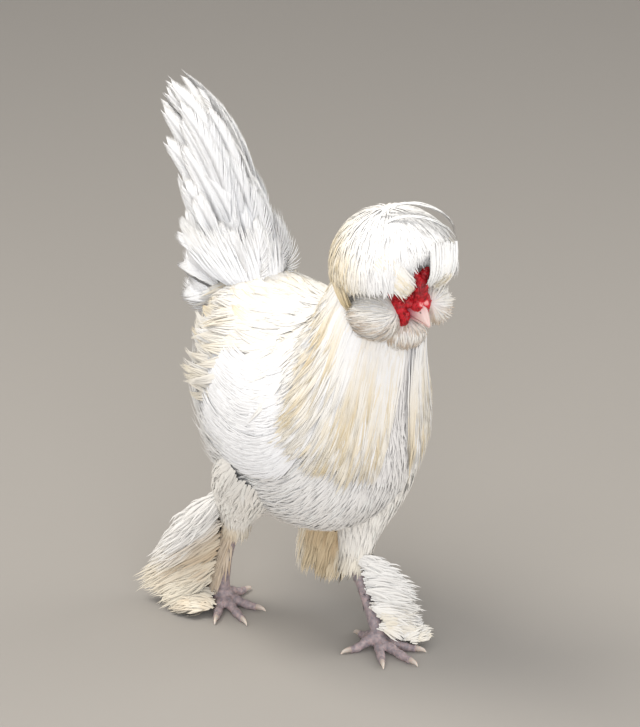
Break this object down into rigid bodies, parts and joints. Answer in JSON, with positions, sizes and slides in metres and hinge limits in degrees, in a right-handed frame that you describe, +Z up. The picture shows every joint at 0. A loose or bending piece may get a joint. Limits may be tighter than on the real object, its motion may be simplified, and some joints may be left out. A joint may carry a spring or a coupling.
{
  "type": "sultan cock model",
  "caption": "Life-size still model of a walking crested and bearded cock with globe crest, muffs, V comb, upright tail, vulture hocks and feathered shanks.",
  "frame": {"origin": "middle of the bounding box at floor level, under the bird", "axes": "+Z up, the bird faces -Y and its left side is +X"},
  "size_m": [0.1902, 0.4032, 0.5213],
  "materials": {
    "plumage": "soft white feathers",
    "straw_plumage": "silky feathers, white to straw",
    "red_skin": "finely wrinkled red skin",
    "beak_horn": "pinkish horn",
    "leg_skin": "scaly slate skin",
    "claw_horn": "pale horn",
    "eye": "glossy"
  },
  "bodies": {
    "root": {"beak_lower": "beak_horn", "beak_upper": "beak_horn", "beard": "plumage", "claw_left_fifth": "claw_horn", "claw_left_hind": "claw_horn", "claw_left_inner": "claw_horn", "claw_left_middle": "claw_horn", "claw_left_outer": "claw_horn", "claw_right_fifth": "claw_horn", "claw_right_hind": "claw_horn", "claw_right_inner": "claw_horn", "claw_right_middle": "claw_horn", "claw_right_outer": "claw_horn", "comb": "red_skin", "crest": "plumage", "eye_left": "eye", "eye_right": "eye", "foot_left": "leg_skin", "foot_right": "leg_skin", "head": "red_skin", "muff_left": "plumage", "muff_right": "plumage", "neck": "straw_plumage", "shank_left": "leg_skin", "shank_right": "leg_skin", "tail": "plumage", "thigh_left": "plumage", "thigh_right": "plumage", "torso": "plumage", "wattle_left": "red_skin", "wattle_right": "red_skin", "wing_left": "plumage", "wing_right": "plumage"}
  },
  "joints": []
}
